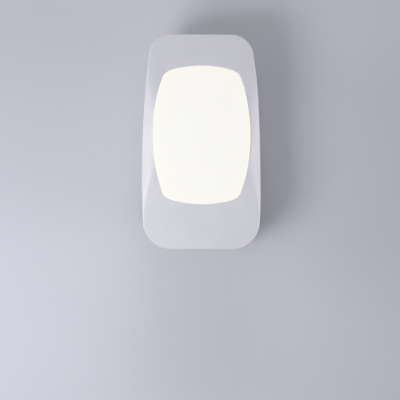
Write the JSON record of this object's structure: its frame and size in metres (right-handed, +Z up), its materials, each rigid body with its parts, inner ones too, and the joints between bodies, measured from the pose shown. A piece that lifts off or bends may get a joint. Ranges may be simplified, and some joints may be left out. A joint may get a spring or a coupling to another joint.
{
  "type": "plug-in night light",
  "caption": "Plug-in LED night light: arched white housing with a bowed opal lens, a side slide switch and two flat blades on the back.",
  "frame": {"origin": "centre of the plug face, midway between the two blades", "axes": "+X is right as seen from the front, +Y points into the wall along the blades, +Z is up; the lens faces -Y"},
  "size_m": [0.0644, 0.0465, 0.1168],
  "materials": {
    "housing_white": "fine matt moulded ABS",
    "housing_back": "fine matt moulded ABS",
    "opal_lens": "satin opal polycarbonate, lit from inside",
    "tray_white": "satin white polycarbonate",
    "knob_white": "satin moulded ABS",
    "screw_steel": "zinc plated",
    "board_white": "white solder mask",
    "led_phosphor": "phosphor under clear resin",
    "board_green": "green solder mask",
    "capacitor_film": "moulded box",
    "capacitor_sleeve": "shrunk sleeve",
    "chip_black": "moulded epoxy",
    "resistor_green": "lacquered",
    "resistor_tan": "lacquered",
    "switch_steel": "folded tinplate",
    "blade_brass": "stamped, bare",
    "lever_black": "moulded acetal",
    "wire_black": "PVC insulation",
    "wire_white": "PVC insulation",
    "wire_red": "PVC insulation",
    "wire_blue": "PVC insulation"
  },
  "bodies": {
    "housing": {"front_shell": "housing_white", "rear_shell": "housing_back", "diffuser_lens": "opal_lens", "reflector_tray": "tray_white", "tray_screws": "screw_steel", "led_board": "board_white", "leds": "led_phosphor", "led_board_screws": "screw_steel", "driver_board": "board_green", "driver_board_screws": "screw_steel", "film_capacitor": "capacitor_film", "electrolytic_capacitor": "capacitor_sleeve", "bridge_rectifier": "chip_black", "fusible_resistor": "resistor_green", "bleeder_resistor": "resistor_tan", "chip_resistors": "chip_black", "slide_switch_body": "switch_steel", "switch_terminals": "blade_brass", "line_blade": "blade_brass", "neutral_blade": "blade_brass", "blade_retainer": "tray_white", "retainer_screws": "screw_steel", "housing_screws": "screw_steel", "line_lead": "wire_black", "neutral_lead": "wire_white", "switch_leads": "wire_red", "led_leads": "wire_blue"},
    "switch_slider": {"switch_knob": "knob_white", "slide_switch_lever": "lever_black"}
  },
  "joints": [
    {"name": "switch_slide", "type": "slide", "parent": "housing", "child": "switch_slider", "axis": [-0.0847, 0, 0.9964], "range_m": [-0.003, 0]}
  ]
}
